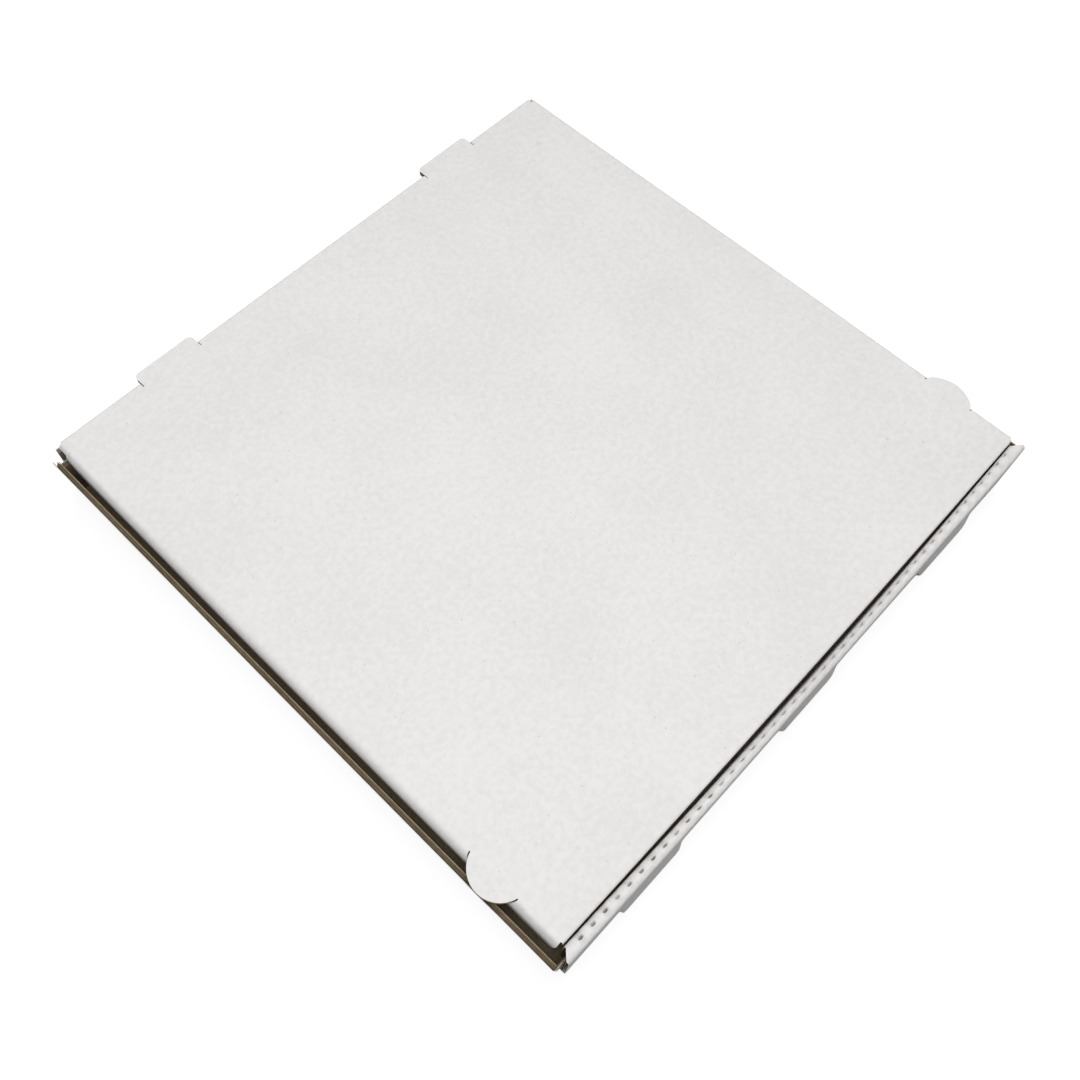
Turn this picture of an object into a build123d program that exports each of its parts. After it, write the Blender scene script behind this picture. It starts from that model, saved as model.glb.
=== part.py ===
from build123d import *
import os
from math import floor, radians, tan

# A pizza box folded from one sheet of corrugated board, closed.
# X runs along the front edge, +Y towards the hinge, +Z up.
# The origin is the centre of the tray's underside.

# Board
board = 2.6               # thickness of the flat corrugated board
crushed_board = 0.6       # thickness where the flutes are pressed flat
flute_pitch = 6.6         # from one flute to the next; the flutes run from front to back
fold_radius = 1.2         # outside radius of a sharply creased fold
soft_fold_radius = 2.0    # outside radius of the lid's side folds
corner_radius = 2.5       # rounding of the cut corners of tabs and cut-outs
flap_corner_radius = 6.0  # rounding of the free corners of the flaps

# Lid
lid_width = 300.0         # across the front, fold to fold
lid_length = 301.5        # from the front fold to the back of the hinge fold
box_height = 34.5         # from the table to the top of the lid
front_flap_depth = 24.0   # lid's front tuck flap, top of lid to its lower edge
front_flap_lean = 4.0     # degrees that the tuck flap leans into the box
side_flap_depth = 25.0    # lid's side tuck flaps, top of lid to their lower edge
flap_taper = 12.0         # degrees that the front ends of the lid's flaps are cut back
rear_taper = 20.0         # degrees that the rear ends of the side tuck flaps are cut back
flap_end_gap = 0.8        # between neighbouring flaps at the lid's corners

# Tabs that stay in the plane of the lid
rear_tab_width = 32.0
rear_tab_reach = 4.8      # how far a rear tab stands out behind the box
rear_tab_inset = 45.5     # from the lid's side to the near edge of a rear tab
round_tab_reach = 7.2     # how far a round tab stands out beside the lid
round_tab_radius = 12.8
round_tab_from_front = 35.0

# Tray
side_wall_drop = 4.6      # from the top of the lid down to the top of a side wall
end_wall_inset = 2.0      # front and rear walls are this much shorter than the tray at each end
inner_panel_inset = 3.4   # the rolled-over panel is this much shorter again at each end
rear_flap_length = 58.0
rear_flap_drop = 9.5      # from the top of the lid down to the top of a rear corner flap
front_corner_flap_length = 54.0
front_corner_flap_drop = 6.5

# Lock tabs of the rolled-over front wall
lock_tab_count = 3
lock_tab_width = 36.0
lock_tab_reach = 1.7      # how far a lock tab stands out under the front wall
lock_tab_inset = 33.6     # from the tray's side to the near edge of the outer lock tabs

# Crushed flutes along the inner crease of the front wall's top
pit_length = 2.0
pit_width = 1.2
pit_depth = 0.8
pit_from_inner_face = 2.0

# Clearances
layer_gap = 0.15          # between layers of the tray that lie against each other
tab_gap = 0.4             # around a tab in its cut-out
base_gap = 0.4            # from the base up to the lower edge of a flap
hinge_gap = 0.3           # between the lid's rear fold and the rear wall
side_gap = 1.0            # from a side tuck flap to the side wall
front_gap = 0.6           # from the lid's front fold to the front wall
rear_flap_gap = 1.0       # from the side tuck flaps to the rear corner flaps
cut_margin = 5.0          # extra reach of a cutting shape beyond what it cuts

# Derived sizes
half_board = board / 2
front_wall_thickness = 2 * board + crushed_board + 2 * layer_gap
tray_width = lid_width + 2 * (side_gap + board)
tray_length = front_wall_thickness + front_gap + lid_length
front_face = -tray_length / 2
rear_face = tray_length / 2
end_wall_width = tray_width - 2 * end_wall_inset
inner_panel_width = end_wall_width - 2 * inner_panel_inset
inner_face = front_face + front_wall_thickness
lid_front = inner_face + front_gap
side_wall_top = box_height - side_wall_drop
side_wall_start = front_face + board + layer_gap
side_wall_end = rear_face - board - layer_gap
hinge_y = rear_face - half_board
hinge_z = box_height - half_board
lid_underside = box_height - board
flap_foot = board + base_gap


# Plain section of board that follows a line of folds, rounded on the outside of each fold
def board_section(fold_line, radius=fold_radius):
    points = [Vector(*point) for point in fold_line]
    runs = [(after - before).normalized() for before, after in zip(points, points[1:])]
    left_side = []
    right_side = []
    outer_corners = []
    for index, point in enumerate(points):
        before = runs[max(index - 1, 0)]
        after = runs[min(index, len(runs) - 1)]
        left_before = Vector(-before.Y, before.X)
        left_after = Vector(-after.Y, after.X)
        mitre = (left_before + left_after) * (half_board / (1 + left_before.dot(left_after)))
        left_side.append(point + mitre)
        right_side.append(point - mitre)
        turn = before.X * after.Y - before.Y * after.X
        if turn > 0:
            outer_corners.append(point - mitre)
        elif turn < 0:
            outer_corners.append(point + mitre)
    section = make_face(Polyline(*left_side, *reversed(right_side), close=True))
    rounded = [
        vertex
        for vertex in section.vertices()
        if any((Vector(*vertex) - corner).length < half_board / 10 for corner in outer_corners)
    ]
    return fillet(rounded, min(radius, 0.95 * board)) if rounded else section


# A section in the Y-Z plane drawn out along X, centred
def across(section, width):
    return extrude(Plane.YZ * section, amount=width / 2, both=True)


# A section in the X-Z plane drawn out along Y between two places
def along(section, start, end):
    return Pos(0, (start + end) / 2, 0) * extrude(Plane.XZ * section, amount=(end - start) / 2, both=True)


# A block between two opposite corners
def block(low, high):
    size = Vector(*high) - Vector(*low)
    return Pos(*((Vector(*high) + Vector(*low)) * 0.5)) * Box(*size)


# A closed outline with some of its corners rounded
def rounded_outline(points, radii):
    outline = make_face(Polyline(*points, close=True))
    for point, radius in zip(points, radii):
        if radius > 0:
            corner = outline.vertices().sort_by_distance(Vector(*point))[0]
            outline = fillet(corner, radius)
    return outline


# Both copies of a shape, one on each side of the box
def both_sides(shape):
    return shape + mirror(shape, Plane.YZ)


# Middles of the lock tabs, spread evenly between the two outer ones
def lock_tab_places():
    outer = tray_width / 2 - lock_tab_inset - lock_tab_width / 2
    spacing = 2 * outer / (lock_tab_count - 1)
    return [index * spacing - outer for index in range(lock_tab_count)]


# Middles of the lid's rear tabs
def rear_tab_places():
    place = lid_width / 2 - rear_tab_inset - rear_tab_width / 2
    return [-place, place]


# Base panel with the plain parts of the front and rear walls, folded up from it
def base_and_end_walls():
    spine_line = box_height - half_board
    inner_line = inner_face - half_board
    section = board_section([
        (hinge_y, hinge_z - half_board - hinge_gap),
        (hinge_y, half_board),
        (front_face + half_board, half_board),
        (front_face + half_board, spine_line),
        (inner_line, spine_line),
        (inner_line, flap_foot),
    ])
    return across(section, end_wall_width)


# What the mitred ends of the top strip and the shorter inner panel leave out
def roll_over_ends():
    outer_end = end_wall_width / 2
    inner_end = inner_panel_width / 2
    past_end = outer_end + cut_margin
    mitre = make_face(Polyline(
        (outer_end, front_face + fold_radius),
        (inner_end, inner_face),
        (inner_end, inner_face + cut_margin),
        (past_end, inner_face + cut_margin),
        (past_end, front_face + fold_radius),
        close=True,
    ))
    strip_end = Pos(0, 0, lid_underside) * extrude(mitre, amount=board + cut_margin)
    panel_end = block(
        (inner_end, front_face + board, board),
        (past_end, inner_face + cut_margin, lid_underside),
    )
    return both_sides(strip_end + panel_end)


# Lock tabs, creased outwards from the foot of the inner panel to lie level with the base
def lock_tabs():
    inner_line = inner_face - half_board
    section = board_section([
        (inner_line, flap_foot + 2 * board),
        (inner_line, half_board),
        (front_face - lock_tab_reach, half_board),
    ])
    tab = across(section, lock_tab_width)
    tip = fillet(tab.edges().filter_by(Axis.Z).group_by(Axis.Y)[0], board / 2)
    return [Pos(place, 0, 0) * tip for place in lock_tab_places()]


# Slots along the base's front fold that the lock tabs come out through
def lock_slots():
    half_slot = lock_tab_width / 2 + tab_gap
    slot = block(
        (-half_slot, front_face - cut_margin, -cut_margin),
        (half_slot, inner_face + tab_gap, board + tab_gap),
    )
    return [Pos(place, 0, 0) * slot for place in lock_tab_places()]


# Pits along the inner crease of the top strip, where folding crushes each flute
def crushed_flute_pits():
    count = floor((inner_panel_width - 2 * pit_length) / flute_pitch)
    middle = (0, inner_face - pit_from_inner_face, box_height)
    return [
        Pos(*middle) * place * Box(pit_length, pit_width, 2 * pit_depth)
        for place in GridLocations(flute_pitch, 1, count, 1)
    ]


# Both side walls with the base between them
def base_and_side_walls():
    line = tray_width / 2 - half_board
    section = board_section([
        (-line, side_wall_top),
        (-line, half_board),
        (line, half_board),
        (line, side_wall_top),
    ])
    return along(section, side_wall_start, side_wall_end) - upright_corners()


# What rounds off the upright folds at the ends of the side walls
def upright_corners():
    side = tray_width / 2
    tool_height = box_height + cut_margin
    cutters = []
    for end, outward in ((side_wall_start, -1), (side_wall_end, 1)):
        centre_y = end - outward * fold_radius
        corner = block(
            (side - fold_radius, min(centre_y, end + outward * cut_margin), -cut_margin),
            (side + cut_margin, max(centre_y, end + outward * cut_margin), tool_height),
        )
        fold = Pos(side - fold_radius, centre_y, 0) * Cylinder(fold_radius, 2 * tool_height + cut_margin)
        cutters.append(corner - fold)
    return both_sides(cutters[0] + cutters[1])


# Corner flap of the left side wall, its free end rounded
def corner_flap(length, drop, start, end):
    root = -tray_width / 2 + fold_radius
    tip = root + length
    top = box_height - drop
    outline = rounded_outline(
        [(root, flap_foot), (tip, flap_foot), (tip, top), (root, top)],
        [0, flap_corner_radius, flap_corner_radius, 0],
    )
    return along(outline, start, end)


# Front corner flaps, pressed flat inside the front wall
def front_corner_flaps():
    end = side_wall_start + crushed_board
    return both_sides(corner_flap(front_corner_flap_length, front_corner_flap_drop, side_wall_start, end))


# Rear corner flaps, lying along the rear wall
def rear_corner_flaps():
    start = side_wall_end - board
    return both_sides(corner_flap(rear_flap_length, rear_flap_drop, start, side_wall_end))


# Notches that the lid's rear tabs were cut from
def rear_notches():
    half_notch = rear_tab_width / 2 + tab_gap
    bottom = hinge_z - half_board - rear_tab_reach - 2 * hinge_gap
    outline = rounded_outline(
        [(-half_notch, bottom), (half_notch, bottom), (half_notch, box_height), (-half_notch, box_height)],
        [corner_radius, corner_radius, 0, 0],
    )
    notch = along(outline, rear_face - board - layer_gap / 2, rear_face + cut_margin)
    return [Pos(place, 0, 0) * notch for place in rear_tab_places()]


def tray():
    front_and_rear = base_and_end_walls() - roll_over_ends() - crushed_flute_pits() - rear_notches()
    sides = base_and_side_walls() + front_corner_flaps() + rear_corner_flaps()
    return (front_and_rear + sides) - lock_slots() + lock_tabs()


# Lid's top with its rear fold, a full round on the hinge line
def lid_panel():
    half_width = lid_width / 2
    panel = block(
        (-half_width + soft_fold_radius, lid_front + fold_radius, lid_underside),
        (half_width - soft_fold_radius, hinge_y, box_height),
    )
    rear_fold = Pos(0, hinge_y, hinge_z) * Rot(0, 90, 0) * Cylinder(half_board, lid_width)
    return panel + rear_fold


# Rear tabs, in the plane of the lid
def rear_tabs():
    tip = rear_face + rear_tab_reach
    half_tab = rear_tab_width / 2
    outline = rounded_outline(
        [(-half_tab, hinge_y - board), (half_tab, hinge_y - board), (half_tab, tip), (-half_tab, tip)],
        [0, 0, corner_radius, corner_radius],
    )
    tab = Pos(0, 0, lid_underside) * extrude(outline, amount=board)
    return [Pos(place, 0, 0) * tab for place in rear_tab_places()]


# Round tabs, in the plane of the lid
def round_tabs():
    middle = (-lid_width / 2 - round_tab_reach + round_tab_radius, lid_front + round_tab_from_front)
    disc = Pos(*middle, lid_underside) * extrude(Circle(round_tab_radius), amount=board)
    return both_sides(disc)


# Side tuck flaps and the soft folds that carry them
def side_tuck_flaps():
    line = lid_width / 2 - half_board
    foot = box_height - side_flap_depth
    section = board_section(
        [(-line, foot), (-line, hinge_z), (line, hinge_z), (line, foot)],
        soft_fold_radius,
    )
    front_end = lid_front + fold_radius
    rear_end = side_wall_end - board - rear_flap_gap
    flap_height = lid_underside - foot
    outline = rounded_outline(
        [
            (front_end, box_height),
            (front_end, lid_underside),
            (front_end + flap_height * tan(radians(flap_taper)), foot),
            (rear_end - flap_height * tan(radians(rear_taper)), foot),
            (rear_end, lid_underside),
            (hinge_y, lid_underside),
            (hinge_y, box_height),
        ],
        [0, 0, flap_corner_radius, flap_corner_radius, 0, 0, 0],
    )
    flaps = along(section, front_end, hinge_y) & across(outline, lid_width)
    return flaps - half_moons()


# Half-moon holes in the side tuck flaps, where the round tabs were cut from
def half_moons():
    above_fold = round_tab_radius - round_tab_reach - half_board
    place = (0, lid_front + round_tab_from_front, hinge_z + above_fold)
    drill = Pos(*place) * Rot(0, 90, 0) * Cylinder(round_tab_radius, lid_width + cut_margin)
    keep_panel = block(
        (-lid_width / 2 + board, lid_front, 0),
        (lid_width / 2 - board, hinge_y, box_height),
    )
    return drill - keep_panel


# Front tuck flap, leaning into the box so that it clears the front wall as it swings up
def front_tuck_flap():
    line = lid_front + half_board
    drop = front_flap_depth - half_board
    foot = box_height - front_flap_depth
    section = board_section([
        (line + 2 * board, hinge_z),
        (line, hinge_z),
        (line + drop * tan(radians(front_flap_lean)), foot),
    ])
    half_width = lid_width / 2 - board - flap_end_gap
    half_foot = half_width - drop * tan(radians(flap_taper))
    half_fold = lid_width / 2 - soft_fold_radius
    outline = rounded_outline(
        [
            (half_fold, box_height),
            (half_fold, lid_underside),
            (half_width, lid_underside),
            (half_foot, foot - cut_margin),
            (-half_foot, foot - cut_margin),
            (-half_width, lid_underside),
            (-half_fold, lid_underside),
            (-half_fold, box_height),
        ],
        [0] * 8,
    )
    return across(section, lid_width) & along(outline, lid_front - cut_margin, lid_front + 10 * board)


def lid():
    return lid_panel() + side_tuck_flaps() + front_tuck_flap() + rear_tabs() + round_tabs()


os.makedirs("parts", exist_ok=True)
for name, make in (("tray", tray), ("lid", lid)):
    shape = make()
    print(name, "solids", len(shape.solids()), "volume", round(shape.volume), shape.bounding_box())
    export_step(shape, f"parts/{name}.step")
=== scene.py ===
import bpy
import bmesh
import numpy as np
from math import acos, cos, hypot, pi, radians, sin, tan
from mathutils import Matrix, Vector
from mathutils.geometry import delaunay_2d_cdt


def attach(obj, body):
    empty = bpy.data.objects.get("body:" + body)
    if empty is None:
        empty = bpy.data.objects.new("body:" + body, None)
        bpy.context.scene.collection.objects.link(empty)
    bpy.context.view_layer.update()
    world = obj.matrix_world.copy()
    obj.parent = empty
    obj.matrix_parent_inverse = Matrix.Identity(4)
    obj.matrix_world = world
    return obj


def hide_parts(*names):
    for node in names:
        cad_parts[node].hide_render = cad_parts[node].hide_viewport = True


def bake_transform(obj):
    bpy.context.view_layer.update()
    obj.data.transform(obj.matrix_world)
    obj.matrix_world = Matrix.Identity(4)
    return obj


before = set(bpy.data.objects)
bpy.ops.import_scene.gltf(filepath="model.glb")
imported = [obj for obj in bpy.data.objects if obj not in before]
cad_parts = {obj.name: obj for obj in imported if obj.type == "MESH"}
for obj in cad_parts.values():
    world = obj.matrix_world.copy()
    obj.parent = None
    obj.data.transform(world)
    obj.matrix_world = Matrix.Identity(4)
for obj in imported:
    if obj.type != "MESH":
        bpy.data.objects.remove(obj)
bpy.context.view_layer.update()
print("frame loaded")

# The box is two die-cut blanks of corrugated board. Each is drawn flat, in mm: the first number runs
# across the flutes and the second along them. A place on the blank and a depth into the board, from
# its white face, give a place on the folded box.
board = {
    "thickness": 2.6,
    "liner": 0.3,           # the flat paper on each face
    "medium": 0.22,         # the wavy paper between them
    "flutePitch": 6.6,
    "flutePoints": 8,       # steps to one wave
    "crushed": 0.6,         # where the flutes are pressed flat
    "crease": 1.2,          # outside radius of a sharp fold
    "topCrease": 2.4,       # of the fold along the top of the front wall
    "rolledCrease": 3.2,    # and of the one where that wall rolls over to the inside
    "softCrease": 2.0,      # and of the lid's side folds
    "creaseSteps": 6,       # rows of points round a fold
    "softCreaseSteps": 8,
    "gridStep": 14.0,       # spacing of the points that let a panel bow
    "gridClear": 3.4,       # none of them is nearer than this to a fold line
    "sharpAngle": 38.0,     # degrees from which an edge is shaded sharp
}
toMetres = 0.001


# ---------- paper colours and materials ----------
def paint(code):
    channels = [int(code[i:i + 2], 16) / 255 for i in (1, 3, 5)]
    return [c / 12.92 if c <= 0.04045 else ((c + 0.055) / 1.055) ** 2.4 for c in channels] + [1]


def addNode(tree, kind, inputs=(), **settings):
    node = tree.nodes.new(kind)
    for name, value in settings.items():
        setattr(node, name, value)
    for key, value in (inputs.items() if isinstance(inputs, dict) else enumerate(inputs)):
        if isinstance(value, bpy.types.Node):
            tree.links.new(value.outputs[0], node.inputs[key])
        elif isinstance(value, bpy.types.NodeSocket):
            tree.links.new(value, node.inputs[key])
        elif value is not None:
            node.inputs[key].default_value = value
    return node


def newMaterial(name):
    material = bpy.data.materials.new(name)
    material.use_nodes = True
    material.node_tree.nodes.clear()
    return material, material.node_tree


# White-top testliner: waste paper with a thin bleached layer. Dull, faintly clouded, with grey specks
# of old print and a trace of the flutes behind it.
whiteTop = {
    "colour": "#E9E8E8",
    "cloud": "#E1E0E0",
    "speck": "#9D9A96",
    # the pressed grey is partly the crushed board's own colour and partly painted shade in the deep pits
    "pressed": "#77746C",    # the grey paper under the white, where it is pressed deepest
    "cloudSize": 2.6,        # mm
    "speckSpacing": 3.4,
    "speckSize": 0.34,
    "speckShare": 0.30,      # of the places that could hold one
    "toothSize": 0.35,
    "toothHeight": 0.03,
    "washboard": 0.035,      # height of the trace of the flutes
    "roughness": 0.72,
    # rubbed and dented spots on the lid: across, along, size, darkness
    "marks": [
        (110.5, -106.5, 1.1, 0.16), (120.5, -119.0, 1.0, 0.15),
        (129.0, 128.0, 2.2, 0.10), (-129.0, -116.0, 1.6, 0.08),
        (-119.0, -128.5, 1.5, 0.08),
    ],
    "markShade": 0.02,
}


def makeWhiteTop(style):
    material, tree = newMaterial("whiteTopTestliner")
    place = addNode(tree, "ShaderNodeTexCoord")
    flat = addNode(tree, "ShaderNodeUVMap", uv_map="blank")
    spot = place.outputs["Object"]
    clouds = addNode(tree, "ShaderNodeTexNoise", {
        "Vector": spot, "Scale": 1 / (style["cloudSize"] * toMetres), "Detail": 4.0, "Roughness": 0.62})
    broad = addNode(tree, "ShaderNodeTexNoise", {
        "Vector": spot, "Scale": 1 / (17 * style["cloudSize"] * toMetres), "Detail": 2.0})
    both = addNode(tree, "ShaderNodeMath", [clouds.outputs[0], 0.72], operation="MULTIPLY")
    both = addNode(tree, "ShaderNodeMath", [broad.outputs[0], 0.28, both], operation="MULTIPLY_ADD")
    share = addNode(tree, "ShaderNodeMapRange", {
        "Value": both, "From Min": 0.40, "From Max": 0.62, "To Min": 0.0, "To Max": 1.0})
    # a Mix node has one set of sockets for each kind of value: 6 and 7 are its colours, 2 is their mixture
    colour = addNode(tree, "ShaderNodeMix", {
        0: share, 6: paint(style["colour"]), 7: paint(style["cloud"])}, data_type="RGBA")
    cells = addNode(tree, "ShaderNodeTexVoronoi", {
        "Vector": spot, "Scale": 1 / (style["speckSpacing"] * toMetres), "Randomness": 1.0})
    near = addNode(tree, "ShaderNodeMapRange", {
        "Value": cells.outputs["Distance"],
        "From Min": 0.0, "From Max": style["speckSize"] / style["speckSpacing"],
        "To Min": 1.0, "To Max": 0.0})
    chosen = addNode(tree, "ShaderNodeSeparateColor", [cells.outputs["Color"]])
    chosen = addNode(tree, "ShaderNodeMath", [chosen.outputs[0], style["speckShare"]], operation="LESS_THAN")
    specks = addNode(tree, "ShaderNodeMath", [near, chosen], operation="MULTIPLY")
    specked = addNode(tree, "ShaderNodeMix", {
        0: specks, 6: colour.outputs[2], 7: paint(style["speck"])}, data_type="RGBA")
    # where the board is crushed the thin white layer cracks and the grey beneath it shows; in the deep pits this
    # grey is also painted shade, darkening the recesses
    crushed = addNode(tree, "ShaderNodeAttribute", attribute_name="pressed")
    crushed = addNode(tree, "ShaderNodeMapRange", {
        "Value": crushed.outputs["Fac"], "From Min": 0.04, "From Max": 0.66, "To Min": 0.0, "To Max": 1.0})
    crushedGreyAndPitShade = addNode(tree, "ShaderNodeMix", {
        0: crushed, 6: specked.outputs[2], 7: paint(style["pressed"])}, data_type="RGBA")
    last = crushedGreyAndPitShade.outputs[2]
    for across, along, size, darkness in style["marks"]:
        away = addNode(tree, "ShaderNodeVectorMath", [
            spot, (across * toMetres, along * toMetres, lidBlank["top"] * toMetres)], operation="DISTANCE")
        mask = addNode(tree, "ShaderNodeMapRange", {
            "Value": away.outputs["Value"], "From Min": 0.3 * size * toMetres, "From Max": size * toMetres,
            "To Min": darkness, "To Max": 0.0}, interpolation_type="SMOOTHSTEP")
        marked = addNode(tree, "ShaderNodeMix", {
            0: mask, 6: last, 7: [style["markShade"]] * 3 + [1]}, data_type="RGBA", blend_type="MULTIPLY")
        last = marked.outputs[2]
    # height in metres: the flutes' trace and the tooth of the paper
    turns = addNode(tree, "ShaderNodeSeparateXYZ", [flat])
    wave = addNode(tree, "ShaderNodeMath", [
        turns.outputs[0], 2 * pi / (board["flutePitch"] * toMetres)], operation="MULTIPLY")
    wave = addNode(tree, "ShaderNodeMath", [wave], operation="SINE")
    wave = addNode(tree, "ShaderNodeMath", [wave, style["washboard"] * toMetres], operation="MULTIPLY")
    tooth = addNode(tree, "ShaderNodeTexNoise", {
        "Vector": spot, "Scale": 1 / (style["toothSize"] * toMetres), "Detail": 3.0})
    height = addNode(tree, "ShaderNodeMath", [
        tooth.outputs[0], style["toothHeight"] * toMetres, wave], operation="MULTIPLY_ADD")
    bump = addNode(tree, "ShaderNodeBump", {"Height": height, "Strength": 0.6, "Distance": 1.0})
    paper = addNode(tree, "ShaderNodeBsdfPrincipled", {
        "Base Color": last, "Roughness": style["roughness"], "IOR": 1.45,
        "Specular IOR Level": 0.28, "Normal": bump})
    addNode(tree, "ShaderNodeOutputMaterial", [paper])
    return material


# Brown kraft-faced testliner and the fluting medium: unbleached, dull, with short dark and pale fibres.
brownPapers = {
    "kraftTestliner": {"colour": "#96866C", "dark": "#84745B", "pale": "#A4957B", "fibre": 0.45, "roughness": 0.82},
    "flutingMedium": {"colour": "#82765F", "dark": "#675C48", "pale": "#958971", "fibre": 0.8, "roughness": 0.88},
}


def makeBrownPaper(name, style):
    material, tree = newMaterial(name)
    place = addNode(tree, "ShaderNodeTexCoord")
    spot = place.outputs["Object"]
    stretched = addNode(tree, "ShaderNodeMapping", {"Vector": spot, "Scale": (1.0, 0.35, 1.0)})
    fibres = addNode(tree, "ShaderNodeTexNoise", {
        "Vector": stretched, "Scale": 1 / (style["fibre"] * toMetres), "Detail": 5.0, "Roughness": 0.7})
    clouds = addNode(tree, "ShaderNodeTexNoise", {
        "Vector": spot, "Scale": 1 / (40 * style["fibre"] * toMetres), "Detail": 2.0})
    both = addNode(tree, "ShaderNodeMath", [clouds.outputs[0], 0.25], operation="MULTIPLY")
    both = addNode(tree, "ShaderNodeMath", [fibres.outputs[0], 0.75, both], operation="MULTIPLY_ADD")
    ramp = addNode(tree, "ShaderNodeValToRGB", [both])
    ramp.color_ramp.elements[0].position = 0.36
    ramp.color_ramp.elements[0].color = paint(style["dark"])
    ramp.color_ramp.elements[1].position = 0.66
    ramp.color_ramp.elements[1].color = paint(style["pale"])
    ramp.color_ramp.elements.new(0.5).color = paint(style["colour"])
    height = addNode(tree, "ShaderNodeMath", [fibres.outputs[0], 0.05 * toMetres], operation="MULTIPLY")
    bump = addNode(tree, "ShaderNodeBump", {"Height": height, "Strength": 0.6, "Distance": 1.0})
    paper = addNode(tree, "ShaderNodeBsdfPrincipled", {
        "Base Color": ramp, "Roughness": style["roughness"], "IOR": 1.45,
        "Specular IOR Level": 0.25, "Normal": bump})
    addNode(tree, "ShaderNodeOutputMaterial", [paper])
    return material


# ---------- folding ----------
def foldLine(points, radii):
    # white face seen end on, with the board on the left of it and every fold turning left
    spots = [Vector(point) for point in points]
    runs = [(after - before).normalized() for before, after in zip(spots, spots[1:])]
    starts = [0.0]
    for before, after in zip(spots, spots[1:]):
        starts.append(starts[-1] + (after - before).length)
    folds = []
    for i, radius in enumerate(radii):
        turn = acos(max(-1, min(1, runs[i].dot(runs[i + 1]))))
        slope = tan(turn / 2)
        folds.append({
            "spot": spots[i + 1], "at": starts[i + 1], "run": runs[i], "turn": turn,
            "slope": slope, "radius": radius, "reach": radius * slope})
    return {"spots": spots, "runs": runs, "starts": starts, "folds": folds}


def rotated(arm, angle):
    return Vector((arm.x * cos(angle) - arm.y * sin(angle), arm.x * sin(angle) + arm.y * cos(angle)))


def onLine(line, distance, depth):
    for fold in line["folds"]:
        if abs(distance - fold["at"]) < fold["reach"]:
            run = fold["run"]
            inward = Vector((-run.y, run.x))
            if depth >= fold["radius"]:
                return fold["spot"] - run * (depth * fold["slope"]) + inward * depth
            centre = fold["spot"] - run * fold["reach"] + inward * fold["radius"]
            turned = fold["turn"] * (distance - fold["at"] + fold["reach"]) / (2 * fold["reach"])
            return centre + rotated(inward * (depth - fold["radius"]), turned)
    last = len(line["runs"]) - 1
    k = min(last, max(0, sum(1 for start in line["starts"] if start <= distance) - 1))
    run = line["runs"][k]
    along = distance - line["starts"][k]
    if k > 0 and depth > line["folds"][k - 1]["radius"]:
        along = max(along, depth * line["folds"][k - 1]["slope"])
    if k < last and depth > line["folds"][k]["radius"]:
        along = min(along, line["starts"][k + 1] - line["starts"][k] - depth * line["folds"][k]["slope"])
    return line["spots"][k] + run * along + Vector((-run.y, run.x)) * depth


def ease(low, high, value):
    t = max(0.0, min(1.0, (value - low) / (high - low)))
    return t * t * (3 - 2 * t)


def roundedLoop(corners):
    # corners are across, along and radius
    loop = []
    count = len(corners)
    for i, (across, along, radius) in enumerate(corners):
        here = Vector((across, along))
        if radius <= 0:
            loop.append(here)
            continue
        before = (Vector(corners[i - 1][:2]) - here).normalized()
        after = (Vector(corners[(i + 1) % count][:2]) - here).normalized()
        half = acos(max(-1, min(1, before.dot(after)))) / 2
        middle = here + (before + after).normalized() * (radius / sin(half))
        start = here + before * (radius / tan(half)) - middle
        end = here + after * (radius / tan(half)) - middle
        sweep = start.angle_signed(end)
        loop += [middle + rotated(start, -sweep * step / 6) for step in range(7)]
    return loop


def bothHalves(half):
    return half + [(-across, along, radius) for across, along, radius in reversed(half)]


def arcPoints(centre, radius, start, end, steps):
    return [
        Vector((centre[0] + radius * cos(start + (end - start) * i / steps),
                centre[1] + radius * sin(start + (end - start) * i / steps)))
        for i in range(steps + 1)]


# ---------- the two blanks ----------
trayBlank = {
    "halfWidth": 153.6, "halfLength": 154.1, "height": 34.5,
    "endWallHalf": 151.6,        # front and rear walls
    "innerPanelHalf": 148.2,
    "innerFace": 148.0,          # inside face of the rolled-over front wall
    "panelFoot": 3.0,            # lower edges that stand just above the base
    "sideTop": 29.9, "wallEnd": 151.35,
    "rearTop": 31.0, "notchHalf": 16.4, "notchBottom": 26.5, "notchMiddle": 88.5,
    "frontFlapTop": 28.0, "frontFlapReach": 55.2,
    "rearFlapTop": 25.0, "rearFlapReach": 59.2,
    "flapCorner": 6.0,
    "tabHalf": 18.0, "tabMiddle": 102.0, "tabReach": 1.65, "slotGap": 0.4,
    # the board never stands quite straight, in mm at the top of each wall
    "outerBow": 0.5, "innerBow": 2.75,     # front wall, outer face and rolled-over fold
    "innerLean": 0.3,
    "leftLean": 3.55, "rightLean": -0.6,   # side walls, outwards
    "leanMiddle": -60.0, "leanSpan": 480.0,
    "bowFrom": 4.0, "bowDepth": 4.0,       # height and distance behind the inner face where the bow starts
    "footBulge": 1.62, "bulgeTop": 20.0,   # where the lock tabs push the front wall's foot out
    "endCrush": 4.0,                       # the side wall's board thins over this length before its front fold
    "rows": range(-120, 150, 40),          # more rows of points across the flutes
}
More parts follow.
